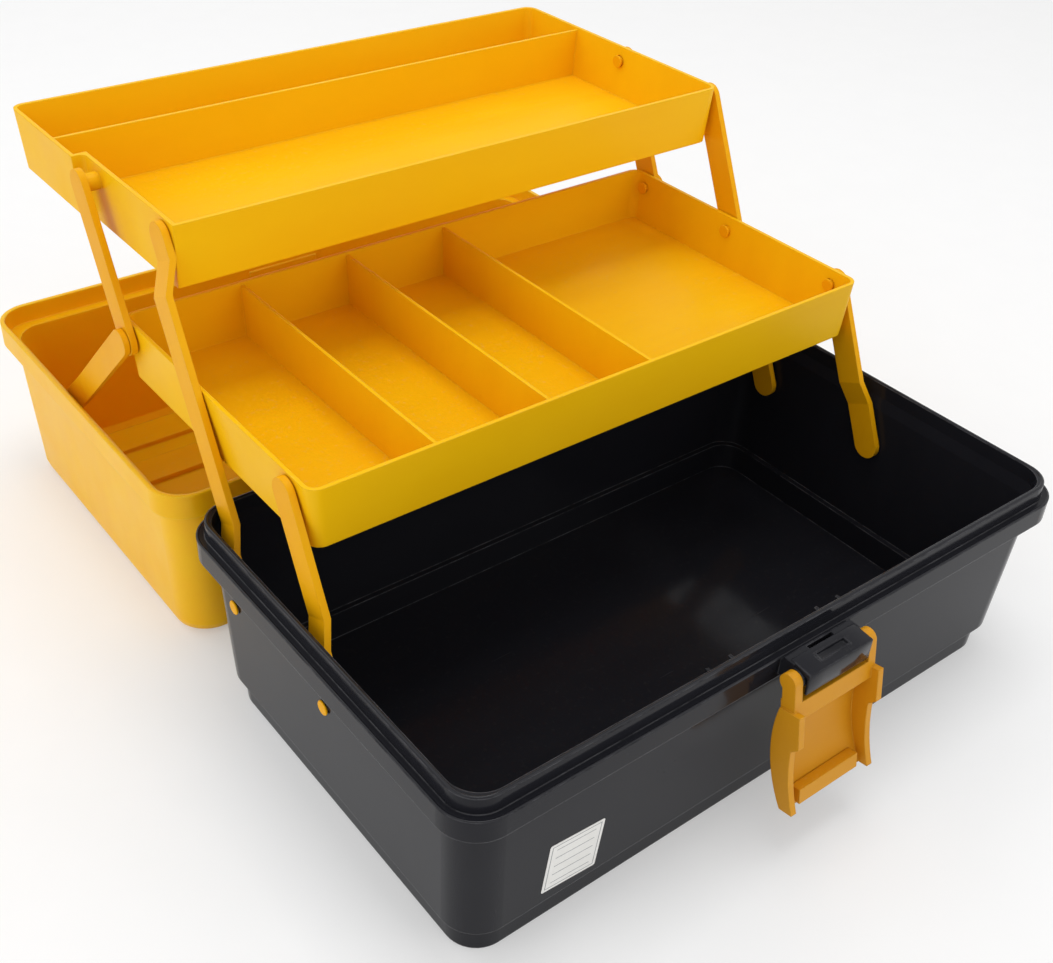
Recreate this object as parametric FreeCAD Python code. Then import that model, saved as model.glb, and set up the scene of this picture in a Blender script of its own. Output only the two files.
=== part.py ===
import FreeCAD, Part
import math
import os

# Three-tier art supply box, shown open. Millimetres.
# +X runs to the right seen from the front, +Y to the back, +Z up.
# The origin is the centre of the base's underside.

V = FreeCAD.Vector

# Base shell
base_length = 330.0
base_width = 200.0
shoulder_z = 88.0
lip_height = 7.0
lip_inset = 3.5
lip_thickness = 2.5
wall = 2.5
wall_inset_top = 5.0
wall_inset_low = 8.0
skirt_height = 10.0
skirt_thickness = 2.0
foot_height = 14.0
foot_inset = 11.0
floor_thickness = 3.0
corner_radius = 17.0
shoulder_thickness = 2.5

# Lid shell
lid_gap = 0.4
lid_skirt_height = 12.0
lid_skirt_thickness = 2.2
lid_inset_top = 8.0
lid_edge_radius = 6.0
well_length = 150.0
well_width = 36.0
well_depth = 11.0
band_width = 20.0
band_rise = 2.5
band_places = (-74.0, -40.0)
catch_half = 20.0
catch_rise = 3.0
catch_height = 6.0
catch_step = 1.1

# Hinge
hinge_offset = 7.5
hinge_x = 95.0
knuckle_radius = 4.2
knuckle_length = 11.0
hinge_pin_radius = 1.8
hinge_fit = 0.08

# Trays
tray_side_room = 16.3
tray_wall = 1.8
tray_rim_wall = 2.4
tray_rim_height = 3.0
tray_floor = 1.8
tray_radius = 6.0
tray_draft = 1.6
lower_depth = 157.0
lower_height = 28.0
lower_front_gap = 15.0
first_cell = 57.0
next_cell = 55.35
divider_wall = 1.6
divider_drop = 1.2
upper_depth = 151.0
upper_front_gap = 8.5
upper_height = 27.5
upper_jog = 5.7
upper_jog_gap = 5.0
upper_divider_back = 43.0
boss_radius = 3.8

# Arms and links
open_lean = 25.0
lower_arm_length = 84.0
upper_arm_length = 67.0
stud_z = 62.5
rear_stud_y = 69.0
base_stud_span = 70.0
upper_span = 62.7
pivot_below_rim = 7.5
arm_width = 13.0
arm_thickness = 3.0
arm_gap = 0.5
arm_foot_gap = 0.5
joggle_start = 22.0
joggle_length = 12.0
tuck_start = 9.0
tuck_length = 13.0
stud_radius = 2.5
stud_fit = 0.1
loop_fit = 0.35
stud_head = 3.2
stud_head_thickness = 0.7
head_gap = 0.3
link_thickness = 2.5
link_layer_gap = 0.3
link_length = 108.0
link_angle = -43.0
link_wall_gap = 1.6

# Latch and its bracket
latch_width = 48.0
latch_length = 61.0
latch_tilt = 9.5
latch_panel = 2.2
latch_side = 3.0
latch_shoulder = 12.0
latch_step = 27.0
latch_front = 7.5
latch_waist = 3.2
latch_toe = 5.5
latch_back = 2.5
latch_bow = 6.5
latch_heel = 1.0
bracket_width = 37.0
bracket_reach = 10.0
latch_pivot_z = 84.0
trunnion_radius = 2.2
trunnion_fit = 0.1

# Handle
handle_span = 132.0
handle_reach = 22.0
handle_bar = 8.0
handle_pin_radius = 2.4
handle_fit = 0.1

half_l = base_length / 2.0
half_w = base_width / 2.0
lip_top = shoulder_z + lip_height
hinge_y = half_w + hinge_offset
hinge_z = shoulder_z + lid_gap / 2.0
lid_rim_z = shoulder_z + lid_gap
lid_top_z = 2.0 * hinge_z
lid_height = lid_top_z - lid_rim_z
lean = math.radians(open_lean)
tray_half = half_l - tray_side_room


def rounded(hx, hy, radius, z, cy=0.0):
    r = max(radius, 0.6)
    pts = []
    edges = []
    corners = ((hx, hy, 0.0), (-hx, hy, 90.0), (-hx, -hy, 180.0), (hx, -hy, 270.0))
    for sx, sy, start in corners:
        ox = math.copysign(hx - r, sx)
        oy = cy + math.copysign(hy - r, sy)
        trio = []
        for step in (0.0, 45.0, 90.0):
            a = math.radians(start + step)
            trio.append(V(ox + r * math.cos(a), oy + r * math.sin(a), z))
        pts.append(trio)
    for i in range(4):
        trio = pts[i]
        edges.append(Part.Arc(trio[0], trio[1], trio[2]).toShape())
        edges.append(Part.makeLine(trio[2], pts[(i + 1) % 4][0]))
    return Part.Wire(edges)


def inset_wire(inset, z, radius):
    return rounded(half_l - inset, half_w - inset, radius, z)


def loft(low, high):
    return Part.makeLoft([low, high], True, True)


def block(x0, x1, y0, y1, z0, z1):
    return Part.makeBox(x1 - x0, y1 - y0, z1 - z0, V(x0, y0, z0))


def rod(radius, x0, x1, y, z):
    return Part.makeCylinder(radius, x1 - x0, V(x0, y, z), V(1, 0, 0))


def dome(radius, height, x, y, z, side):
    body = Part.makeCylinder(radius, height, V(x, y, z), V(side, 0, 0))
    rim = [e for e in body.Edges if abs(e.CenterOfMass.x - (x + side * height)) < 0.01]
    return body.makeFillet(height * 0.7, [e for e in rim if e.Length > 1.0][:1])


def mirrored(shape):
    return shape.mirror(V(0, 0, 0), V(1, 0, 0))


def export(shape, name):
    shape = shape.removeSplitter()
    shape.exportStep("parts/" + name + ".step")


def inset_at(z, z0, i0, z1, i1):
    return i0 + (i1 - i0) * (z - z0) / (z1 - z0)


# Pivot places, right and left alike, as (y, z)
rear_stud = (rear_stud_y, stud_z)
front_stud = (rear_stud_y - base_stud_span, stud_z)
lower_rise = (lower_arm_length * math.sin(lean), lower_arm_length * math.cos(lean))
upper_rise = (upper_arm_length * math.sin(lean), upper_arm_length * math.cos(lean))
lower_mid = (rear_stud[0] + lower_rise[0], rear_stud[1] + lower_rise[1])
lower_front = (front_stud[0] + lower_rise[0], front_stud[1] + lower_rise[1])
cluster = (lower_mid[0] + upper_span, lower_mid[1])
upper_front = (lower_mid[0] + upper_rise[0], lower_mid[1] + upper_rise[1])
upper_rear = (cluster[0] + upper_rise[0], cluster[1] + upper_rise[1])

lower_rim = lower_mid[1] + pivot_below_rim
lower_y0 = lower_front[0] - lower_front_gap
lower_y1 = lower_y0 + lower_depth
upper_rim = upper_front[1] + pivot_below_rim
upper_y0 = upper_front[0] - upper_front_gap
upper_y1 = upper_y0 + upper_depth

arm_in = tray_half + arm_gap
arm_out = arm_in + arm_thickness
link_in = arm_out + link_layer_gap
link_out = link_in + link_thickness


# Base shell: floor, foot, drafted walls, shoulder with outer skirt, raised lip
wall_r = corner_radius - 1.0
foot_r = corner_radius - 3.0
foot_top = foot_height
base = loft(inset_wire(foot_inset + 0.6, 0.0, foot_r), inset_wire(foot_inset, foot_top + 1.0, foot_r))
walls = loft(inset_wire(wall_inset_low, foot_top, wall_r), inset_wire(wall_inset_top, shoulder_z, wall_r))
base = base.fuse(walls)
shoulder = loft(
    inset_wire(0.0, shoulder_z - skirt_height, corner_radius),
    inset_wire(0.0, shoulder_z, corner_radius),
)
under = loft(
    inset_wire(skirt_thickness, shoulder_z - skirt_height, corner_radius - skirt_thickness),
    inset_wire(skirt_thickness, shoulder_z - shoulder_thickness, corner_radius - skirt_thickness),
)
base = base.fuse(shoulder.cut(under))
base = base.fuse(
    loft(
        inset_wire(lip_inset, shoulder_z, corner_radius - lip_inset),
        inset_wire(lip_inset + 0.3, lip_top, corner_radius - lip_inset),
    )
)
ledge_z = foot_top + floor_thickness
inner_low = wall_inset_low + wall
inner_top = wall_inset_top + wall
lip_inner = lip_inset + lip_thickness
turn_z = shoulder_z - 6.0
room = loft(
    inset_wire(foot_inset + wall + 0.6, floor_thickness, foot_r - wall),
    inset_wire(foot_inset + wall, ledge_z, foot_r - wall),
)
room = room.fuse(
    loft(
        inset_wire(inner_low, ledge_z, wall_r - wall),
        inset_wire(inner_top, turn_z, wall_r - wall),
    )
)
room = room.fuse(
    loft(
        inset_wire(inner_top, turn_z, wall_r - wall),
        inset_wire(lip_inner, shoulder_z, wall_r - wall),
    )
)
room = room.fuse(
    loft(
        inset_wire(lip_inner, shoulder_z, wall_r - wall),
        inset_wire(lip_inner, lip_top + 1.0, wall_r - wall),
    )
)
base = base.cut(room)

# Gusset ribs behind the front wall, either side of the latch
rib_top = shoulder_z - 10.0
rib_reach = 12.0
rib_drop = 22.0
rib_wall = 1.6
front_in = -(half_w - inner_top)
for rib_x in (-37.0, -24.5, 24.5, 37.0):
    rib = Part.Face(
        Part.makePolygon(
            [
                V(rib_x - rib_wall / 2.0, front_in - 1.0, rib_top),
                V(rib_x - rib_wall / 2.0, front_in + rib_reach, rib_top),
                V(rib_x - rib_wall / 2.0, front_in + 0.2, rib_top - rib_drop),
                V(rib_x - rib_wall / 2.0, front_in - 1.0, rib_top - rib_drop),
                V(rib_x - rib_wall / 2.0, front_in - 1.0, rib_top),
            ]
        )
    ).extrude(V(rib_wall, 0, 0))
    base = base.fuse(rib)

# Stud holes for the arms
stud_hole = stud_radius + stud_fit
for y, z in (rear_stud, front_stud):
    base = base.cut(rod(stud_hole, -half_l - 5.0, half_l + 5.0, y, z))

# Hinge knuckles on the back of the base
back = half_w
knuckle_gap = 0.3
for side in (-1.0, 1.0):
    for shift in (-1.0, 1.0):
        mid = side * hinge_x + shift * (knuckle_length + knuckle_gap)
        x0 = mid - knuckle_length / 2.0
        x1 = mid + knuckle_length / 2.0
        web = block(x0, x1, back - 1.5, hinge_y, hinge_z - 8.2, hinge_z - lid_gap)
        lug = web.fuse(rod(knuckle_radius, x0, x1, hinge_y, hinge_z))
        base = base.fuse(lug)
    base = base.cut(rod(hinge_pin_radius, side * hinge_x - 30.0, side * hinge_x + 30.0, hinge_y, hinge_z))

# Latch bracket on the front of the base
front = -half_w
latch_pivot = (front - bracket_reach + 1.5, latch_pivot_z)
bx = bracket_width / 2.0
bracket = block(-bx, bx, front - bracket_reach + 3.5, front + 1.0, latch_pivot_z - 4.0, shoulder_z - 0.5)
crest = block(-bx, bx, front - bracket_reach + 3.5, front - 1.2, latch_pivot_z - 4.0, shoulder_z + 1.5)
bracket = bracket.fuse(crest)
bracket = bracket.fuse(rod(4.0, -bx, bx, latch_pivot[0], latch_pivot[1]))
bracket = bracket.fuse(block(-bx, bx, latch_pivot[0], front + 1.0, latch_pivot_z - 4.0, latch_pivot_z + 4.0))
slot = block(-7.0, 7.0, front - bracket_reach - 4.0, front - 2.0, latch_pivot_z + 1.0, shoulder_z + 3.0)
bracket = bracket.cut(slot)
bore = rod(trunnion_radius + trunnion_fit, -bx - 1.0, bx + 1.0, latch_pivot[0], latch_pivot[1])
base = base.fuse(bracket.cut(bore))


# Hinge pins
pins = []
pin_half = 1.5 * knuckle_length + knuckle_gap
for side in (-1.0, 1.0):
    pins.append(rod(hinge_pin_radius, side * hinge_x - pin_half, side * hinge_x + pin_half, hinge_y, hinge_z))
hinge_pins = Part.makeCompound(pins)


# Lid shell, drawn closed and then swung open about the hinge
def lid_wire(inset, up, radius):
    return rounded(half_l - inset, half_w - inset, radius, lid_rim_z + up)


shelf = lid_skirt_height
edge = lid_edge_radius
top_inset = inset_at(lid_height - edge, shelf, wall_inset_top, lid_height, lid_inset_top)
lid = loft(lid_wire(0.0, 0.0, corner_radius), lid_wire(0.0, shelf, corner_radius))
lid = lid.fuse(
    loft(
        lid_wire(wall_inset_top, shelf - 1.0, wall_r),
        lid_wire(top_inset, lid_height - edge, wall_r),
    )
)
steps = (0.0, 30.0, 60.0, 90.0)
for i in range(3):
    a0 = math.radians(steps[i])
    a1 = math.radians(steps[i + 1])
    i0 = top_inset + edge * (1.0 - math.cos(a0))
    i1 = top_inset + edge * (1.0 - math.cos(a1))
    u0 = lid_height - edge + edge * math.sin(a0)
    u1 = lid_height - edge + edge * math.sin(a1)
    lid = lid.fuse(loft(lid_wire(i0, u0, wall_r), lid_wire(i1, u1, wall_r)))
lid_room = loft(
    lid_wire(lid_skirt_thickness, -1.0, corner_radius - lid_skirt_thickness),
    lid_wire(lid_skirt_thickness, shelf - wall, corner_radius - lid_skirt_thickness),
)
lid_room = lid_room.fuse(
    loft(
        lid_wire(wall_inset_top + wall, shelf - wall - 0.5, wall_r - wall),
        lid_wire(top_inset + wall, lid_height - edge, wall_r - wall),
    )
)
lid_room = lid_room.fuse(
    loft(
        lid_wire(top_inset + wall, lid_height - edge, wall_r - wall),
        lid_wire(top_inset + edge, lid_height - wall, wall_r - wall),
    )
)
lid = lid.cut(lid_room)

# Handle well let into the top
wx = well_length / 2.0
wy = well_width / 2.0
well_floor = lid_top_z - well_depth
tub = loft(
    rounded(wx + wall, wy + wall, 10.0, well_floor - wall),
    rounded(wx + wall, wy + wall, 10.0, lid_top_z - 1.0),
)
hole = loft(rounded(wx, wy, 8.0, well_floor), rounded(wx, wy, 8.0, lid_top_z + 1.0))
lid = lid.fuse(tub).cut(hole)
handle_y = wy - handle_bar / 2.0 - 3.0
handle_z = lid_top_z - well_depth / 2.0
lid = lid.cut(rod(handle_pin_radius + handle_fit, -wx - 1.6, wx + 1.6, handle_y, handle_z))

# Low stiffening bands along the inside of the top, between the well and the front wall
band_half = half_l - lid_inset_top - lid_edge_radius - 3.0
band_z = lid_top_z - wall
for band_y in band_places:
    band = block(
        -band_half,
        band_half,
        band_y - band_width / 2.0,
        band_y + band_width / 2.0,
        band_z - band_rise,
        band_z + wall / 2.0,
    )
    lid = lid.fuse(band)

# Catch recess in the front wall of the lid, with a shallow step behind it on the inside
catch_z = lid_rim_z + shelf + catch_rise
catch_back = front + wall_inset_top + wall
step = block(
    -catch_half - 1.5,
    catch_half + 1.5,
    catch_back - 0.8,
    catch_back + catch_step,
    catch_z - 1.5,
    catch_z + catch_height + 1.5,
)
lid = lid.fuse(step)
lid = lid.cut(block(-catch_half, catch_half, front - 1.0, catch_back - 0.4, catch_z, catch_z + catch_height))

# Hinge knuckles of the lid
for side in (-1.0, 1.0):
    x0 = side * hinge_x - knuckle_length / 2.0
    x1 = side * hinge_x + knuckle_length / 2.0
    web = block(x0, x1, back - 1.5, hinge_y, hinge_z + lid_gap, hinge_z + 8.2)
    lug = web.fuse(rod(knuckle_radius, x0, x1, hinge_y, hinge_z))
    lid = lid.fuse(lug)
    bore = rod(hinge_pin_radius + hinge_fit, side * hinge_x - 30.0, side * hinge_x + 30.0, hinge_y, hinge_z)
    lid = lid.cut(bore)


# Carrying handle: a bar on two legs, folded flat in the well
hs = handle_span / 2.0
hb = handle_bar / 2.0
grip = Part.makeCylinder(hb, handle_span, V(-hs, handle_y - handle_reach, handle_z), V(1, 0, 0))
handle = grip
for side in (-1.0, 1.0):
    x0 = side * (hs - hb)
    leg = Part.makeCylinder(hb, handle_reach, V(x0, handle_y - handle_reach, handle_z), V(0, 1, 0))
    eye = Part.makeCylinder(hb, 2.0 * hb, V(x0 - hb, handle_y, handle_z), V(1, 0, 0))
    reach = wx + 1.2
    x_out = side * reach
    stub_length = reach - hs + 2.0 * hb
    stub = Part.makeCylinder(handle_pin_radius, stub_length, V(x_out, handle_y, handle_z), V(-side, 0, 0))
    handle = handle.fuse(leg).fuse(eye).fuse(stub)


def swing_open(shape):
    turned = shape.copy()
    turned.rotate(V(0, hinge_y, hinge_z), V(1, 0, 0), -180.0)
    return turned


lid = swing_open(lid)
handle = swing_open(handle)


# Trays
def tray_wire(x0, x1, y0, y1, radius, z):
    cx = (x0 + x1) / 2.0
    wire = rounded((x1 - x0) / 2.0, (y1 - y0) / 2.0, radius, z, (y0 + y1) / 2.0)
    wire.translate(V(cx, 0, 0))
    return wire


def tray_solid(x0, x1, y0, y1, rim, height, t, low):
    d = tray_draft
    r = tray_radius - t
    under_wire = tray_wire(x0 + t + d, x1 - t - d, y0 + t + d, y1 - t - d, r, rim - height + low)
    over_wire = tray_wire(x0 + t, x1 - t, y0 + t, y1 - t, r, rim)
    return loft(under_wire, over_wire)


def tray_box(x0, x1, y0, y1, rim, height):
    body = tray_solid(x0, x1, y0, y1, rim, height, 0.0, 0.0)
    return body.cut(tray_solid(x0, x1, y0, y1, rim + 0.01, height + 0.01, tray_wall, tray_floor))


lower = tray_box(-tray_half, tray_half, lower_y0, lower_y1, lower_rim, lower_height)
lower_body = tray_solid(-tray_half, tray_half, lower_y0, lower_y1, lower_rim, lower_height, 0.0, 0.0)
for cell in range(3):
    dx = first_cell - tray_half + cell * next_cell
    sheet = block(
        dx - divider_wall / 2.0,
        dx + divider_wall / 2.0,
        lower_y0,
        lower_y1,
        lower_rim - lower_height,
        lower_rim - divider_drop,
    )
    lower = lower.fuse(sheet.common(lower_body))

# The upper tray is narrower on its left side in front of the short arm
jog_y = upper_rear[0] + arm_width / 2.0 + upper_jog_gap
upper_left = -tray_half + upper_jog
upper_body = tray_solid(-tray_half, tray_half, upper_y0, upper_y1, upper_rim, upper_height, 0.0, 0.0)
upper_room = tray_solid(
    -tray_half, tray_half, upper_y0, upper_y1, upper_rim + 0.01, upper_height, tray_wall, tray_floor
)
low_z = upper_rim - upper_height - 1.0
notch = block(-tray_half - 5.0, upper_left, upper_y0 - 5.0, jog_y, low_z, upper_rim + 1.0)
corner = V(upper_left, jog_y, (low_z + upper_rim + 1.0) / 2.0)
notch = notch.makeFillet(3.0, [e for e in notch.Edges if e.CenterOfMass.distanceToPoint(corner) < 0.1])
inner_notch = block(
    -tray_half - 5.0,
    upper_left + tray_wall,
    upper_y0 - 5.0,
    jog_y + tray_wall,
    low_z,
    upper_rim + 1.0,
)
upper = upper_body.cut(notch).cut(upper_room.cut(inner_notch))
sheet_y = upper_y1 - upper_divider_back
sheet = block(
    -tray_half,
    tray_half,
    sheet_y - divider_wall / 2.0,
    sheet_y + divider_wall / 2.0,
    upper_rim - upper_height,
    upper_rim - divider_drop,
)
upper = upper.fuse(sheet.common(upper_body))

# Boss that brings the narrow side out to the short arm, and the pivot holes
upper = upper.fuse(rod(boss_radius, -tray_half, upper_left + 0.5, upper_rear[0], upper_rear[1]))
hole_tight = stud_radius + stud_fit
hole_loose = stud_radius + loop_fit
wall_zone = 14.0


def pierce(shape, radius, place):
    for x0 in (-tray_half - 1.0, tray_half - wall_zone + 1.0):
        shape = shape.cut(rod(radius, x0, x0 + wall_zone, place[0], place[1]))
    return shape


lower = pierce(lower, hole_tight, lower_mid)
lower = pierce(lower, hole_loose, lower_front)
lower = pierce(lower, hole_tight, cluster)
upper = pierce(upper, hole_tight, upper_front)
upper = pierce(upper, hole_loose, upper_rear)


# Arms, drawn on the right side: a flat bar that may step outward near its foot and inward near its head
foot_low = stud_z - arm_width / 2.0
arm_foot = half_l - inset_at(foot_low, ledge_z, inner_low, turn_z, inner_top) - arm_foot_gap
arm_joggle = arm_foot - arm_out


def bar(length, x0, thick, width, step, start, run, tuck=0.0):
    r = width / 2.0
    foot = x0 + step
    head = x0 - tuck
    near = [V(foot, 0, -r - 1.0), V(foot, 0, start), V(x0, 0, start + run)]
    if tuck > 0.0:
        near.append(V(x0, 0, length - tuck_start - tuck_length))
        near.append(V(head, 0, length - tuck_start))
    near.append(V(head, 0, length + r + 1.0))
    far = [V(p.x + thick, 0, p.z) for p in reversed(near)]
    outline = near + far + near[:1]
    strip = Part.Face(Part.makePolygon(outline)).extrude(V(0, width, 0))
    strip.translate(V(0, -r, 0))
    low = Part.makeCylinder(r, 60.0, V(x0 - 20.0, 0, 0), V(1, 0, 0))
    high = Part.makeCylinder(r, 60.0, V(x0 - 20.0, 0, length), V(1, 0, 0))
    mid = block(x0 - 20.0, x0 + 40.0, -r, r, 0.0, length)
    return strip.common(low.fuse(high).fuse(mid).removeSplitter())


def lean_to(shape, foot, angle):
    placed = shape.copy()
    placed.rotate(V(0, 0, 0), V(1, 0, 0), angle)
    placed.translate(V(0, foot[0], foot[1]))
    return placed


def tray_stud(place, inner_face, tuck=0.0):
    pin = rod(stud_radius, inner_face - head_gap, arm_in - tuck + 0.5, place[0], place[1])
    head = dome(stud_head, stud_head_thickness, inner_face - head_gap, place[0], place[1], -1.0)
    return pin.fuse(head)


def base_stud(place):
    face = half_l - inset_at(place[1] + stud_head, foot_top, wall_inset_low, shoulder_z, wall_inset_top)
    start = arm_out + arm_joggle - 0.5
    pin = rod(stud_radius, start, face + head_gap + 0.2, place[0], place[1])
    return pin.fuse(dome(stud_head, stud_head_thickness, face + head_gap, place[0], place[1], 1.0))


lower_face = tray_half - tray_wall - tray_draft
upper_face = tray_half - tray_wall - tray_draft
long_length = lower_arm_length + upper_arm_length


def make_rear_arm(tuck):
    arm = bar(long_length, arm_in, arm_thickness, arm_width, arm_joggle, joggle_start, joggle_length, tuck)
    arm = lean_to(arm, rear_stud, -open_lean)
    arm = arm.fuse(base_stud(rear_stud)).fuse(tray_stud(lower_mid, lower_face))
    return arm.fuse(tray_stud(upper_front, upper_face - tuck, tuck))


front_arm = lean_to(
    bar(lower_arm_length, arm_in, arm_thickness, arm_width, arm_joggle, joggle_start, joggle_length),
    front_stud,
    -open_lean,
)
front_arm = front_arm.fuse(base_stud(front_stud)).fuse(tray_stud(lower_front, lower_face))


def make_upper_arm(upper_inner):
    arm = bar(upper_arm_length, arm_in, arm_thickness, arm_width, 0.0, 20.0, 10.0)
    arm = lean_to(arm, cluster, -open_lean)
    arm = arm.cut(rod(stud_radius + stud_fit, arm_in - 1.0, arm_out + 1.0, cluster[0], cluster[1]))
    return arm.fuse(tray_stud(upper_rear, upper_inner))


# Lid link: pinned through the short arm into the lower tray, free end beside the lid wall
link_joggle = half_l - wall_inset_top - wall - link_wall_gap - link_out
link_step = bar(link_length, link_in, link_thickness, arm_width - 1.0, link_joggle, 18.0, 14.0)
link_step.rotate(V(0, 0, link_length / 2.0), V(1, 0, 0), 180.0)
lid_link = lean_to(link_step, cluster, link_angle - 90.0)
lid_link = lid_link.fuse(rod(stud_radius, lower_face - head_gap, link_in + 0.5, cluster[0], cluster[1]))
link_head = dome(stud_head, stud_head_thickness, lower_face - head_gap, cluster[0], cluster[1], -1.0)
lid_link = lid_link.fuse(link_head)


# Latch, hanging from the bracket: a bowed panel between two cheeks, hollow side to the front
lw = latch_width / 2.0
ly, lz = latch_pivot
latch_low = lz - latch_length
latch_high = lz - latch_shoulder


def spine(shift):
    top = V(0, ly + latch_back - shift, latch_high)
    belly = V(0, ly + latch_bow - shift, lz - 0.6 * latch_length)
    heel = V(0, ly + latch_heel - shift, latch_low)
    return top, heel, Part.Arc(top, belly, heel).toShape()


def profile(edges, x0, x1):
    shape = Part.Face(Part.Wire(edges)).extrude(V(x1 - x0, 0, 0))
    shape.translate(V(x0, 0, 0))
    return shape


back_top, back_heel, back_edge = spine(0.0)
skin_top, skin_heel, skin_edge = spine(latch_panel)
brow = V(0, ly - latch_front, latch_high)
brow_low = V(0, ly - latch_front, lz - latch_step)
waist_top = V(0, ly - latch_waist - 0.6, lz - latch_step - 3.0)
waist = V(0, ly - latch_waist, lz - 0.72 * latch_length)
toe = V(0, ly - latch_toe, latch_low)
cheek_edges = [
    back_edge,
    Part.makeLine(back_heel, toe),
    Part.Arc(toe, waist, waist_top).toShape(),
    Part.makeLine(waist_top, brow_low),
    Part.makeLine(brow_low, brow),
    Part.makeLine(brow, back_top),
]
skin_edges = [
    back_edge,
    Part.makeLine(back_heel, skin_heel),
    skin_edge,
    Part.makeLine(skin_top, back_top),
]
latch = profile(skin_edges, -lw, lw)
for side in (-1.0, 1.0):
    x0 = min(side * lw, side * (lw - latch_side))
    latch = latch.fuse(profile(cheek_edges, x0, x0 + latch_side))
    inner = side * (bx + 0.4)
    outer = side * (lw - 1.0)
    post_x0 = min(inner, outer)
    post_x1 = max(inner, outer)
    collar = rod(4.0, post_x0, post_x1, ly, lz)
    post = block(post_x0, post_x1, ly - 4.0, ly + latch_back, latch_high - 4.0, lz)
    latch = latch.fuse(collar).fuse(post)
    tip = side * (bx - 5.0)
    latch = latch.fuse(rod(trunnion_radius, min(tip, outer), max(tip, outer), ly, lz))
brow_bar = block(-lw + 1.0, lw - 1.0, ly - 4.0, ly + latch_back + 0.5, latch_high - 5.0, latch_high + 3.5)
toe_bar = block(-lw + 7.0, lw - 7.0, ly - 3.4, ly + latch_heel + 0.2, latch_low + 1.0, latch_low + 8.0)
latch = latch.fuse(brow_bar).fuse(toe_bar)
latch.rotate(V(0, ly, lz), V(1, 0, 0), -latch_tilt)

os.makedirs("parts", exist_ok=True)
export(base, "base_shell")
export(hinge_pins, "hinge_pins")
export(lid, "lid_shell")
export(handle, "handle")
export(lower, "lower_tray")
export(upper, "upper_tray")
export(make_rear_arm(0.0), "rear_arm_right")
export(mirrored(make_rear_arm(upper_jog)), "rear_arm_left")
export(front_arm, "front_arm_right")
export(mirrored(front_arm), "front_arm_left")
export(make_upper_arm(upper_face), "upper_arm_right")
export(mirrored(make_upper_arm(upper_face - upper_jog)), "upper_arm_left")
export(lid_link, "lid_link_right")
export(mirrored(lid_link), "lid_link_left")
export(latch, "latch")
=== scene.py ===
import bmesh
import bpy
import math
from mathutils import Matrix, Vector


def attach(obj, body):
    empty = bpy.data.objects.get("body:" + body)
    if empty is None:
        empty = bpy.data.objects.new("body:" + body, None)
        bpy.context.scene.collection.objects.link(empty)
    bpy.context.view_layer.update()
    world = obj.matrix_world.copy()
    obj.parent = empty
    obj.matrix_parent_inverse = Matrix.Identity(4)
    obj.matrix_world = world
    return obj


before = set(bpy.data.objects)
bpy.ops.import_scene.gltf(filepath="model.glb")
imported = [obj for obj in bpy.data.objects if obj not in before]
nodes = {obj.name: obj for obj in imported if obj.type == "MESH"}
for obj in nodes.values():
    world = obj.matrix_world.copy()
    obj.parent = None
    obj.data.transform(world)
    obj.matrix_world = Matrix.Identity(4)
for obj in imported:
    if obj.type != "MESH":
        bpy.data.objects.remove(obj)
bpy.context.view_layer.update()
MM = 0.001
BASE_LENGTH = 330.0
BASE_WIDTH = 200.0


# Node helpers

def add_node(tree, kind, **settings):
    made = tree.nodes.new(kind)
    for key, value in settings.items():
        setattr(made, key, value)
    return made


def feed(tree, socket, value):
    if isinstance(value, bpy.types.NodeSocket):
        tree.links.new(value, socket)
    else:
        socket.default_value = value


def figure(tree, operation, a, b=0.0, clamp=False):
    made = add_node(tree, "ShaderNodeMath", operation=operation, use_clamp=clamp)
    feed(tree, made.inputs[0], a)
    feed(tree, made.inputs[1], b)
    return made.outputs[0]


def stretch(tree, value, low, high, to_low=0.0, to_high=1.0):
    made = add_node(tree, "ShaderNodeMapRange", clamp=True)
    feed(tree, made.inputs[0], value)
    for i, number in enumerate((low, high, to_low, to_high)):
        made.inputs[i + 1].default_value = number
    return made.outputs[0]


def blend_colour(tree, mask, under, over):
    made = add_node(tree, "ShaderNodeMix", data_type="RGBA")
    feed(tree, made.inputs[0], mask)
    feed(tree, made.inputs[6], under)
    feed(tree, made.inputs[7], over)
    return made.outputs[2]


def cloud(tree, place, scale, detail=2.0, rough=0.5):
    made = add_node(tree, "ShaderNodeTexNoise")
    feed(tree, made.inputs["Vector"], place)
    feed(tree, made.inputs["Scale"], scale)
    feed(tree, made.inputs["Detail"], detail)
    feed(tree, made.inputs["Roughness"], rough)
    return made.outputs[0]


def object_place(tree, scale=(1.0, 1.0, 1.0), turn=(0.0, 0.0, 0.0)):
    coords = add_node(tree, "ShaderNodeTexCoord")
    mapping = add_node(tree, "ShaderNodeMapping")
    tree.links.new(coords.outputs["Object"], mapping.inputs["Vector"])
    mapping.inputs["Rotation"].default_value = turn
    mapping.inputs["Scale"].default_value = scale
    return mapping.outputs["Vector"]


def start_group(name, inputs, outputs):
    tree = bpy.data.node_groups.new(name, "ShaderNodeTree")
    for label, value in inputs:
        tree.interface.new_socket(label, in_out="INPUT", socket_type="NodeSocketFloat").default_value = value
    for label, kind in outputs:
        tree.interface.new_socket(label, in_out="OUTPUT", socket_type=kind)
    return tree, add_node(tree, "NodeGroupInput"), add_node(tree, "NodeGroupOutput")


FLOAT = "NodeSocketFloat"
VECTOR = "NodeSocketVector"


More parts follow.
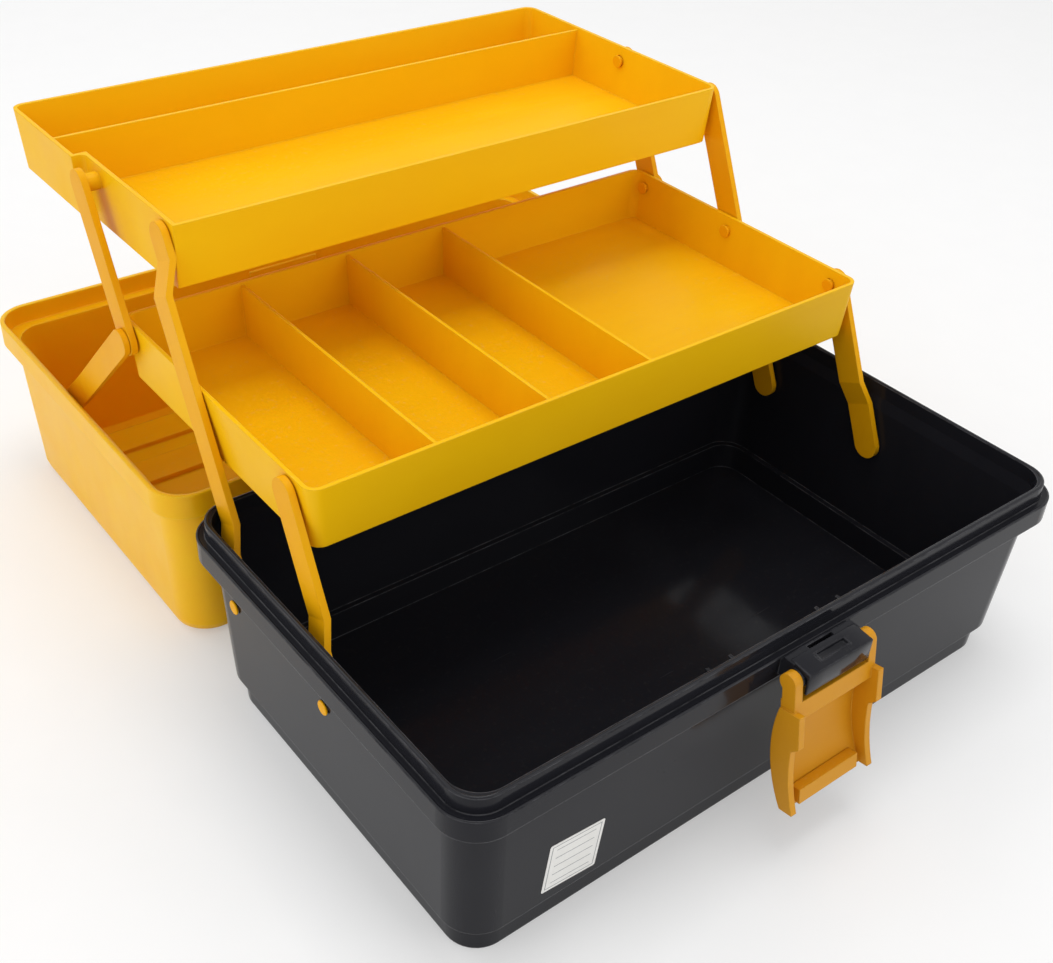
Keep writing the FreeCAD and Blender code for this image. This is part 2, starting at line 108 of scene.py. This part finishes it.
# Moulded skin: fine peel of the steel mould, long flow streaks and broad clouds in the plastic
def make_mould_skin():
    tree, given, result = start_group(
        "mould_skin",
        (("Peel Scale", 900.0), ("Streak Scale", 9.0)),
        (("Peel", FLOAT), ("Streak", FLOAT), ("Cloud", FLOAT)),
    )
    plain = object_place(tree)
    drawn = object_place(tree, (1.0, 6.0, 3.0), (0.0, 0.0, 0.35))
    feed(tree, result.inputs["Peel"], cloud(tree, plain, given.outputs["Peel Scale"], 3.0))
    streak = cloud(tree, drawn, given.outputs["Streak Scale"], 4.0, 0.6)
    feed(tree, result.inputs["Streak"], stretch(tree, streak, 0.35, 0.7))
    feed(tree, result.inputs["Cloud"], stretch(tree, cloud(tree, plain, 11.0, 3.0), 0.3, 0.7))
    return tree


# Rounded edge: a small radius on every corner, and a broken mask where hands rub it, which also lightens
# edges as a painted highlight
def make_rubbed_highlight_edge():
    tree, given, result = start_group(
        "rubbed_highlight_edge",
        (("Radius", 0.0008), ("Break Scale", 90.0)),
        (("Edge", FLOAT), ("Normal", VECTOR)),
    )
    round_off = add_node(tree, "ShaderNodeBevel", samples=6)
    tree.links.new(given.outputs["Radius"], round_off.inputs["Radius"])
    surface = add_node(tree, "ShaderNodeNewGeometry")
    dot = add_node(tree, "ShaderNodeVectorMath", operation="DOT_PRODUCT")
    tree.links.new(round_off.outputs["Normal"], dot.inputs[0])
    tree.links.new(surface.outputs["Normal"], dot.inputs[1])
    corner = stretch(tree, dot.outputs["Value"], 0.995, 0.82)
    patches = cloud(tree, object_place(tree), given.outputs["Break Scale"], 4.0, 0.65)
    broken = stretch(tree, patches, 0.38, 0.62)
    feed(tree, result.inputs["Edge"], figure(tree, "MULTIPLY", corner, broken))
    feed(tree, result.inputs["Normal"], round_off.outputs["Normal"])
    return tree


# Handling marks: hairline scratches, finger smudges, and dust on what faces up
def make_handling_marks():
    tree, given, result = start_group(
        "handling_marks",
        (("Scratch Scale", 1.0), ("Smudge Scale", 26.0)),
        (("Scratch", FLOAT), ("Smudge", FLOAT), ("Dust", FLOAT)),
    )
    lines = []
    strokes = (
        ((0.2, 0.1, 0.5), (26.0, 900.0, 500.0)),
        ((0.1, 0.4, -0.8), (700.0, 22.0, 640.0)),
    )
    for turn, along in strokes:
        hair = cloud(tree, object_place(tree, along, turn), given.outputs["Scratch Scale"], 1.0)
        lines.append(stretch(tree, hair, 0.735, 0.79))
    patch = stretch(tree, cloud(tree, object_place(tree), 17.0, 2.0), 0.45, 0.65)
    both = figure(tree, "MAXIMUM", lines[0], lines[1])
    feed(tree, result.inputs["Scratch"], figure(tree, "MULTIPLY", both, patch))
    smudge = cloud(tree, object_place(tree), given.outputs["Smudge Scale"], 4.0, 0.6)
    feed(tree, result.inputs["Smudge"], stretch(tree, smudge, 0.35, 0.72))
    facing = add_node(tree, "ShaderNodeTexCoord")
    axes = add_node(tree, "ShaderNodeSeparateXYZ")
    tree.links.new(facing.outputs["Normal"], axes.inputs[0])
    up = stretch(tree, axes.outputs["Z"], 0.6, 1.0)
    specks = stretch(tree, cloud(tree, object_place(tree), 420.0, 3.0, 0.7), 0.58, 0.74)
    feed(tree, result.inputs["Dust"], figure(tree, "MULTIPLY", up, specks))
    return tree


mould_skin = make_mould_skin()
rubbed_highlight_edge = make_rubbed_highlight_edge()
handling_marks = make_handling_marks()


def place_group(tree, group, **values):
    made = add_node(tree, "ShaderNodeGroup", node_tree=group)
    for label, value in values.items():
        made.inputs[label.replace("_", " ")].default_value = value
    return made.outputs


def start_material(name):
    material = bpy.data.materials.new(name)
    material.use_nodes = True
    tree = material.node_tree
    return material, tree, tree.nodes["Principled BSDF"]


DUST_GREY = (0.62, 0.58, 0.5, 1.0)


def moulded_plastic(name, colour, deep, rubbed_and_highlight, rough, specular, peel, radius, dust=0.25, wear_and_highlight=0.5):
    material, tree, surface = start_material(name)
    skin = place_group(tree, mould_skin, Peel_Scale=peel[0])
    edge = place_group(tree, rubbed_highlight_edge, Radius=radius)
    marks = place_group(tree, handling_marks)
    flow = figure(tree, "MULTIPLY", skin["Streak"], 0.45)
    shade = figure(tree, "ADD", flow, figure(tree, "MULTIPLY", skin["Cloud"], 0.4), True)
    tone = blend_colour(tree, shade, colour, deep)
    # Edges take a lighter colour: partly rubbed wear, partly a painted highlight standing in for glints
    # along the rims
    tone = blend_colour(tree, figure(tree, "MULTIPLY", edge["Edge"], wear_and_highlight), tone, rubbed_and_highlight)
    tone = blend_colour(tree, figure(tree, "MULTIPLY", marks["Dust"], dust), tone, DUST_GREY)
    tree.links.new(tone, surface.inputs["Base Color"])
    dull = figure(tree, "ADD", figure(tree, "MULTIPLY", marks["Smudge"], 0.13), rough)
    dull = figure(tree, "ADD", dull, figure(tree, "MULTIPLY", marks["Scratch"], 0.18))
    dull = figure(tree, "ADD", dull, figure(tree, "MULTIPLY", edge["Edge"], 0.1), True)
    tree.links.new(dull, surface.inputs["Roughness"])
    relief = figure(tree, "SUBTRACT", skin["Peel"], figure(tree, "MULTIPLY", marks["Scratch"], 0.6))
    bump = add_node(tree, "ShaderNodeBump")
    bump.inputs["Strength"].default_value = peel[1]
    bump.inputs["Distance"].default_value = 0.0002
    tree.links.new(relief, bump.inputs["Height"])
    tree.links.new(edge["Normal"], bump.inputs["Normal"])
    tree.links.new(bump.outputs["Normal"], surface.inputs["Normal"])
    surface.inputs["Specular IOR Level"].default_value = specular
    return material


def drawn_wire_steel():
    material, tree, surface = start_material("drawn_wire_steel")
    grain = cloud(tree, object_place(tree, (60.0, 2600.0, 2600.0)), 1.0, 3.0)
    spots = stretch(tree, cloud(tree, object_place(tree), 260.0, 4.0, 0.7), 0.56, 0.7)
    marks = place_group(tree, handling_marks)
    dark_steel = (0.42, 0.42, 0.43, 1.0)
    bright_steel = (0.66, 0.66, 0.67, 1.0)
    rust = (0.2, 0.12, 0.07, 1.0)
    tone = blend_colour(tree, stretch(tree, grain, 0.3, 0.7), dark_steel, bright_steel)
    tone = blend_colour(tree, figure(tree, "MULTIPLY", spots, 0.35), tone, rust)
    tree.links.new(tone, surface.inputs["Base Color"])
    dull = figure(tree, "ADD", figure(tree, "MULTIPLY", spots, 0.3), 0.24)
    dull = figure(tree, "ADD", dull, figure(tree, "MULTIPLY", marks["Smudge"], 0.1))
    tree.links.new(dull, surface.inputs["Roughness"])
    bump = add_node(tree, "ShaderNodeBump")
    bump.inputs["Strength"].default_value = 0.3
    bump.inputs["Distance"].default_value = 0.0001
    tree.links.new(grain, bump.inputs["Height"])
    tree.links.new(bump.outputs["Normal"], surface.inputs["Normal"])
    surface.inputs["Metallic"].default_value = 1.0
    return material


# Front wall of the base leans outwards as it rises
wall_lean = math.atan(3.0 / 74.0)
sticker_place = Vector((-109.45, -92.78, 32.3)) * MM
sticker_slant = math.radians(-4.6)
sticker_turn = Matrix.Rotation(math.pi / 2.0 + wall_lean, 4, "X") @ Matrix.Rotation(sticker_slant, 4, "Z")


# Paper with ruled lines inside a thin printed frame, all measured from the sticker's middle
def sticker_paper():
    line_gap = 0.0046
    first_line = 0.0115
    line_reach = 0.0094
    frame_inner = 0.0115
    frame_outer = 0.0119
    material, tree, surface = start_material("sticker_paper")
    coords = add_node(tree, "ShaderNodeTexCoord")
    local = add_node(tree, "ShaderNodeMapping", vector_type="TEXTURE")
    tree.links.new(coords.outputs["Object"], local.inputs["Vector"])
    local.inputs["Location"].default_value = sticker_place
    local.inputs["Rotation"].default_value = sticker_turn.to_euler()
    axes = add_node(tree, "ShaderNodeSeparateXYZ")
    tree.links.new(local.outputs["Vector"], axes.inputs[0])
    across = figure(tree, "ABSOLUTE", axes.outputs["X"])
    upward = figure(tree, "ABSOLUTE", axes.outputs["Y"])
    height = figure(tree, "ADD", axes.outputs["Y"], first_line)
    rows = figure(tree, "FRACT", figure(tree, "MULTIPLY", height, 1.0 / line_gap))
    line = figure(tree, "LESS_THAN", figure(tree, "ABSOLUTE", figure(tree, "SUBTRACT", rows, 0.5)), 0.042)
    within_x = figure(tree, "LESS_THAN", across, line_reach)
    within_y = figure(tree, "LESS_THAN", upward, line_reach)
    inside = figure(tree, "MULTIPLY", within_x, within_y)
    reach = figure(tree, "MAXIMUM", across, upward)
    past_inner = figure(tree, "GREATER_THAN", reach, frame_inner)
    short_of_outer = figure(tree, "LESS_THAN", reach, frame_outer)
    border = figure(tree, "MULTIPLY", past_inner, short_of_outer)
    ink = figure(tree, "MAXIMUM", figure(tree, "MULTIPLY", line, inside), border)
    fibre = cloud(tree, object_place(tree, (1.0, 1.0, 2.5)), 1500.0, 4.0, 0.7)
    marks = place_group(tree, handling_marks, Smudge_Scale=90.0)
    grey_fibre = (0.78, 0.77, 0.74, 1.0)
    white_fibre = (0.86, 0.855, 0.83, 1.0)
    thumb_grey = (0.6, 0.57, 0.5, 1.0)
    tone = blend_colour(tree, stretch(tree, fibre, 0.3, 0.7), grey_fibre, white_fibre)
    tone = blend_colour(tree, figure(tree, "MULTIPLY", marks["Smudge"], 0.12), tone, thumb_grey)
    faded = figure(tree, "MULTIPLY", ink, stretch(tree, fibre, 0.2, 0.6, 0.55, 0.95))
    tone = blend_colour(tree, faded, tone, (0.17, 0.18, 0.2, 1.0))
    tree.links.new(tone, surface.inputs["Base Color"])
    tree.links.new(stretch(tree, fibre, 0.3, 0.7, 0.42, 0.6), surface.inputs["Roughness"])
    bump = add_node(tree, "ShaderNodeBump")
    bump.inputs["Strength"].default_value = 0.12
    bump.inputs["Distance"].default_value = 0.0001
    tree.links.new(fibre, bump.inputs["Height"])
    tree.links.new(bump.outputs["Normal"], surface.inputs["Normal"])
    return material


tray_yellow = moulded_plastic(
    "tray_yellow", (0.92, 0.53, 0.004, 1.0), (0.88, 0.46, 0.003, 1.0), (0.97, 0.62, 0.04, 1.0),
    0.34, 0.1, (900.0, 0.05), 0.0007, dust=0.08,
)
lid_yellow = moulded_plastic(
    "lid_yellow", (0.92, 0.52, 0.004, 1.0), (0.88, 0.45, 0.003, 1.0), (0.97, 0.61, 0.04, 1.0),
    0.29, 0.2, (800.0, 0.06), 0.0012, dust=0.08,
)
# A little light passes through the thin lid
lid_surface = lid_yellow.node_tree.nodes["Principled BSDF"]
lid_surface.inputs["Subsurface Weight"].default_value = 0.35
lid_surface.inputs["Subsurface Radius"].default_value = (1.0, 0.55, 0.05)
lid_surface.inputs["Subsurface Scale"].default_value = 0.006
arm_yellow = moulded_plastic(
    "arm_yellow", (0.86, 0.42, 0.003, 1.0), (0.8, 0.35, 0.002, 1.0), (0.96, 0.58, 0.05, 1.0),
    0.36, 0.08, (1100.0, 0.08), 0.0005, dust=0.08, wear_and_highlight=0.65,
)
latch_yellow = moulded_plastic(
    "latch_yellow", (0.66, 0.3, 0.007, 1.0), (0.58, 0.24, 0.005, 1.0), (0.86, 0.45, 0.05, 1.0),
    0.38, 0.22, (1200.0, 0.1), 0.0007, dust=0.08, wear_and_highlight=0.6,
)
# The lighter edge colours of base_black and rim_black are partly rubbed wear and partly a painted highlight
# along the rims
base_black = moulded_plastic(
    "base_black", (0.014, 0.0143, 0.018, 1.0), (0.011, 0.011, 0.0142, 1.0), (0.13, 0.13, 0.14, 1.0),
    0.07, 0.12, (600.0, 0.025), 0.0009, dust=0.01, wear_and_highlight=0.7,
)
rim_black = moulded_plastic(
    "rim_black", (0.014, 0.0143, 0.018, 1.0), (0.011, 0.011, 0.0142, 1.0), (0.09, 0.09, 0.1, 1.0),
    0.05, 0.22, (700.0, 0.02), 0.0004, dust=0.01, wear_and_highlight=0.4,
)
handle_black = moulded_plastic(
    "handle_black", (0.016, 0.016, 0.018, 1.0), (0.01, 0.01, 0.012, 1.0), (0.07, 0.07, 0.075, 1.0),
    0.34, 0.45, (1500.0, 0.16), 0.0006, dust=0.12, wear_and_highlight=0.7,
)
pin_steel = drawn_wire_steel()
paper = sticker_paper()

finishes = {
    "base_shell": base_black,
    "hinge_pins": pin_steel,
    "lid_shell": lid_yellow,
    "handle": handle_black,
    "lower_tray": tray_yellow,
    "upper_tray": tray_yellow,
    "latch": latch_yellow,
}
for name, piece in nodes.items():
    piece.data.materials.clear()
    piece.data.materials.append(finishes.get(name, arm_yellow))


# Modelling helpers

def lay_down_all():
    if bpy.context.object and bpy.context.object.mode != "OBJECT":
        bpy.ops.object.mode_set(mode="OBJECT")
    bpy.ops.object.select_all(action="DESELECT")


def pick(kind, test):
    mesh = bmesh.from_edit_mesh(bpy.context.object.data)
    bpy.ops.mesh.select_all(action="DESELECT")
    bpy.context.tool_settings.mesh_select_mode = (kind == "VERT", kind == "EDGE", kind == "FACE")
    parts = {"VERT": mesh.verts, "EDGE": mesh.edges, "FACE": mesh.faces}[kind]
    for part in parts:
        if test(part):
            part.select_set(True)
    mesh.select_flush_mode()
    bmesh.update_edit_mesh(bpy.context.object.data)


def slice_at(place, normal):
    bpy.ops.mesh.select_all(action="SELECT")
    bpy.ops.mesh.bisect(plane_co=place, plane_no=normal)


def settle(piece, name, body, material):
    lay_down_all()
    piece.select_set(True)
    bpy.context.view_layer.objects.active = piece
    bpy.ops.object.transform_apply(location=True, rotation=True, scale=True)
    piece.name = name
    piece.data.name = name
    piece.data.materials.clear()
    piece.data.materials.append(material)
    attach(piece, body)
    return piece


def soften(piece, degrees):
    lay_down_all()
    piece.select_set(True)
    bpy.context.view_layer.objects.active = piece
    bpy.ops.object.shade_smooth_by_angle(angle=math.radians(degrees))


def round_edges(piece, width, degrees):
    limit = math.radians(degrees)
    apply_modifier(piece, "BEVEL", width=width, segments=2, limit_method="ANGLE", angle_limit=limit)


def apply_modifier(piece, kind, **settings):
    modifier = piece.modifiers.new(kind.lower(), kind)
    for key, value in settings.items():
        setattr(modifier, key, value)
    bpy.context.view_layer.objects.active = piece
    bpy.ops.object.modifier_apply(modifier=modifier.name)


# Write-on sticker on the front wall, a square with rounded corners and a little thickness
def make_sticker():
    lay_down_all()
    bpy.ops.mesh.primitive_plane_add(size=0.0262)
    sticker = bpy.context.object
    bpy.ops.object.mode_set(mode="EDIT")
    bpy.ops.mesh.select_all(action="SELECT")
    bpy.ops.mesh.bevel(offset=0.0008, segments=4, affect="VERTICES")
    bpy.ops.mesh.select_all(action="SELECT")
    bpy.ops.mesh.inset(thickness=0.0004)
    bpy.ops.object.mode_set(mode="OBJECT")
    apply_modifier(sticker, "SOLIDIFY", thickness=0.00016, offset=1.0)
    sticker.matrix_world = Matrix.Translation(sticker_place) @ sticker_turn
    return settle(sticker, "write_on_sticker", "base", paper)


# Cover of the latch bracket: a sloped black plate with a raised slot rim, turned down in front
def make_bracket_cover():
    lay_down_all()
    front_plate_y = -112.9 * MM
    slot_half = 9.0 * MM
    slot_front = -111.6 * MM
    slot_back = -106.0 * MM
    bpy.ops.mesh.primitive_cube_add(size=1.0, location=(0.0, -108.95 * MM, 88.7 * MM))
    cover = bpy.context.object
    cover.scale = (35.6 * MM, 10.3 * MM, 2.4 * MM)
    bpy.ops.object.transform_apply(location=True, rotation=True, scale=True)
    bpy.ops.object.mode_set(mode="EDIT")
    pick("VERT", lambda v: v.co.y < -110.0 * MM)
    bpy.ops.transform.translate(value=(0.0, 0.0, -0.9 * MM))
    slice_at((0.0, front_plate_y, 0.0), (0.0, 1.0, 0.0))
    pick("FACE", lambda f: f.normal.z < -0.6 and f.calc_center_median().y < front_plate_y)
    bpy.ops.mesh.extrude_region_move(TRANSFORM_OT_translate={"value": (0.0, 0.1 * MM, -7.6 * MM)})
    for x in (-slot_half, slot_half):
        slice_at((x, 0.0, 0.0), (1.0, 0.0, 0.0))
    for y in (slot_back, slot_front):
        slice_at((0.0, y, 0.0), (0.0, 1.0, 0.0))

    def slot_face(f):
        middle = f.calc_center_median()
        return f.normal.z > 0.6 and abs(middle.x) < slot_half and slot_front < middle.y < slot_back

    pick("FACE", slot_face)
    bpy.ops.mesh.inset(thickness=0.5 * MM)
    bpy.ops.mesh.extrude_region_move(TRANSFORM_OT_translate={"value": (0.0, 0.0, 0.8 * MM)})
    bpy.ops.mesh.inset(thickness=0.9 * MM)
    bpy.ops.mesh.extrude_region_move(TRANSFORM_OT_translate={"value": (0.0, 0.0, -1.6 * MM)})
    bpy.ops.object.mode_set(mode="OBJECT")
    round_edges(cover, 0.3 * MM, 40.0)
    soften(cover, 35.0)
    return settle(cover, "latch_bracket_cover", "base", base_black)


# Glossy rounded bead along an edge of the base, following its rounded rectangle
def make_bead(name, inset, corner, height, thickness):
    lay_down_all()
    bpy.ops.mesh.primitive_plane_add(size=1.0, location=(0.0, 0.0, height * MM))
    bead = bpy.context.object
    bead.scale = ((BASE_LENGTH - 2.0 * inset) * MM, (BASE_WIDTH - 2.0 * inset) * MM, 1.0)
    bpy.ops.object.transform_apply(location=True, rotation=True, scale=True)
    bpy.ops.object.mode_set(mode="EDIT")
    bpy.ops.mesh.select_all(action="SELECT")
    bpy.ops.mesh.bevel(offset=corner * MM, segments=12, affect="VERTICES")
    bpy.ops.mesh.select_all(action="SELECT")
    bpy.ops.mesh.delete(type="ONLY_FACE")
    bpy.ops.object.mode_set(mode="OBJECT")
    bpy.ops.object.convert(target="CURVE")
    bead = bpy.context.object
    bead.data.dimensions = "3D"
    bead.data.bevel_depth = thickness * MM / 2.0
    bead.data.bevel_resolution = 3
    bpy.ops.object.convert(target="MESH")
    bead = bpy.context.object
    bpy.ops.object.mode_set(mode="EDIT")
    bpy.ops.mesh.select_all(action="SELECT")
    bpy.ops.mesh.remove_doubles(threshold=0.00001)
    bpy.ops.mesh.normals_make_consistent(inside=False)
    bpy.ops.object.mode_set(mode="OBJECT")
    soften(bead, 60.0)
    return settle(bead, name, "base", rim_black)


# Ribbed grip sleeve round the handle's bar
def make_grip():
    lay_down_all()
    bar_y = 226.0 * MM
    bar_z = 5.5 * MM
    half = 49.0 * MM
    bpy.ops.mesh.primitive_cylinder_add(
        vertices=28,
        radius=4.25 * MM,
        depth=2.0 * half,
        location=(0.0, bar_y, bar_z),
        rotation=(0.0, math.pi / 2.0, 0.0),
    )
    grip = bpy.context.object
    bpy.ops.object.transform_apply(location=True, rotation=True, scale=True)
    bpy.ops.object.mode_set(mode="EDIT")
    ribs = 16
    rib_shape = (0.975, 1.0, 1.1, 1.1)
    cuts = len(rib_shape) * ribs
    for i in range(1, cuts):
        slice_at((-half + 2.0 * half * i / cuts, 0.0, 0.0), (1.0, 0.0, 0.0))
    for i in range(0, cuts + 1):
        x = -half + 2.0 * half * i / cuts
        swell = rib_shape[i % len(rib_shape)]
        pick("VERT", lambda v: abs(v.co.x - x) < 1e-5)
        bpy.ops.transform.resize(value=(1.0, swell, swell), center_override=(x, bar_y, bar_z))
    bpy.ops.object.mode_set(mode="OBJECT")
    round_edges(grip, 0.25 * MM, 50.0)
    soften(grip, 40.0)
    return settle(grip, "handle_grip", "handle", handle_black)


make_sticker()
make_bracket_cover()
make_bead("lip_bead", 4.85, 12.2, 94.6, 1.8)
make_bead("shoulder_bead", 0.75, 16.2, 87.65, 1.2)
make_grip()


# Stage: pale floor, soft lamps, white surround and the camera

def light_path_mask(tree):
    path = add_node(tree, "ShaderNodeLightPath")
    seen = figure(tree, "MAXIMUM", path.outputs["Is Camera Ray"], path.outputs["Is Glossy Ray"])
    return figure(tree, "MAXIMUM", seen, path.outputs["Is Transmission Ray"])


def make_floor():
    lay_down_all()
    bpy.ops.mesh.primitive_plane_add(size=60.0, location=(0.0, 0.1, -0.0004))
    floor = bpy.context.object
    floor.name = "floor"
    material, tree, surface = start_material("pale_floor")
    speck = cloud(tree, object_place(tree), 30.0, 3.0)
    tone = blend_colour(tree, speck, (0.92, 0.92, 0.92, 1.0), (0.95, 0.95, 0.95, 1.0))
    tree.links.new(tone, surface.inputs["Base Color"])
    surface.inputs["Roughness"].default_value = 0.8
    surface.inputs["Specular IOR Level"].default_value = 0.1
    glow = add_node(tree, "ShaderNodeEmission")
    mixed = add_node(tree, "ShaderNodeMixShader")
    tree.links.new(figure(tree, "MULTIPLY", light_path_mask(tree), 0.3), mixed.inputs[0])
    tree.links.new(surface.outputs[0], mixed.inputs[1])
    tree.links.new(glow.outputs[0], mixed.inputs[2])
    tree.links.new(mixed.outputs[0], tree.nodes["Material Output"].inputs["Surface"])
    floor.data.materials.append(material)


def make_surround():
    world = bpy.data.worlds.new("white_surround")
    bpy.context.scene.world = world
    world.use_nodes = True
    tree = world.node_tree
    light = tree.nodes["Background"]
    light.inputs["Color"].default_value = (1.0, 1.0, 1.0, 1.0)
    light.inputs["Strength"].default_value = 0.72
    shown = add_node(tree, "ShaderNodeBackground")
    shown.inputs["Color"].default_value = (1.0, 1.0, 1.0, 1.0)
    shown.inputs["Strength"].default_value = 1.0
    mixed = add_node(tree, "ShaderNodeMixShader")
    tree.links.new(light_path_mask(tree), mixed.inputs[0])
    tree.links.new(light.outputs[0], mixed.inputs[1])
    tree.links.new(shown.outputs[0], mixed.inputs[2])
    tree.links.new(mixed.outputs[0], tree.nodes["World Output"].inputs["Surface"])


def hang_lamp(name, place, target, size, power):
    lamp = bpy.data.lights.new(name, "AREA")
    lamp.shape = "SQUARE"
    lamp.size = size
    lamp.energy = power
    holder = bpy.data.objects.new(name, lamp)
    bpy.context.scene.collection.objects.link(holder)
    holder.location = place
    holder.rotation_euler = (Vector(target) - Vector(place)).to_track_quat("-Z", "Y").to_euler()


def set_camera():
    image_width = 1053.0
    focal_length = 1355.288
    middle_x = 521.049
    place = Vector((-337.311, -326.367, 436.491)) * MM
    yaw, pitch, roll = 0.691352, 0.626107, -0.05389
    ahead = Vector((math.sin(yaw) * math.cos(pitch), math.cos(yaw) * math.cos(pitch), -math.sin(pitch)))
    level = Vector((math.cos(yaw), -math.sin(yaw), 0.0))
    down = ahead.cross(level)
    right = math.cos(roll) * level + math.sin(roll) * down
    below = -math.sin(roll) * level + math.cos(roll) * down
    data = bpy.data.cameras.new("camera")
    data.sensor_fit = "HORIZONTAL"
    data.sensor_width = 36.0
    data.lens = data.sensor_width * focal_length / image_width
    data.shift_x = (image_width / 2.0 - middle_x) / image_width
    data.clip_start = 0.01
    camera = bpy.data.objects.new("camera", data)
    bpy.context.scene.collection.objects.link(camera)
    turned = Matrix((right, -below, -ahead)).transposed().to_4x4()
    camera.matrix_world = Matrix.Translation(place) @ turned
    bpy.context.scene.camera = camera


make_floor()
make_surround()
hang_lamp("left_softbox", (-1.5, 0.0, 0.75), (0.0, 0.1, 0.1), 1.4, 4.2)
hang_lamp("top_softbox", (0.1, 0.1, 1.6), (0.0, 0.1, 0.0), 0.7, 6.2)
hang_lamp("back_softbox", (-0.7, 1.3, 1.4), (0.0, 0.2, 0.0), 1.0, 3.5)
hang_lamp("front_softbox", (0.6, -1.5, 0.9), (0.0, 0.1, 0.1), 1.2, 4.5)
set_camera()
bpy.context.scene.view_settings.view_transform = "Standard"
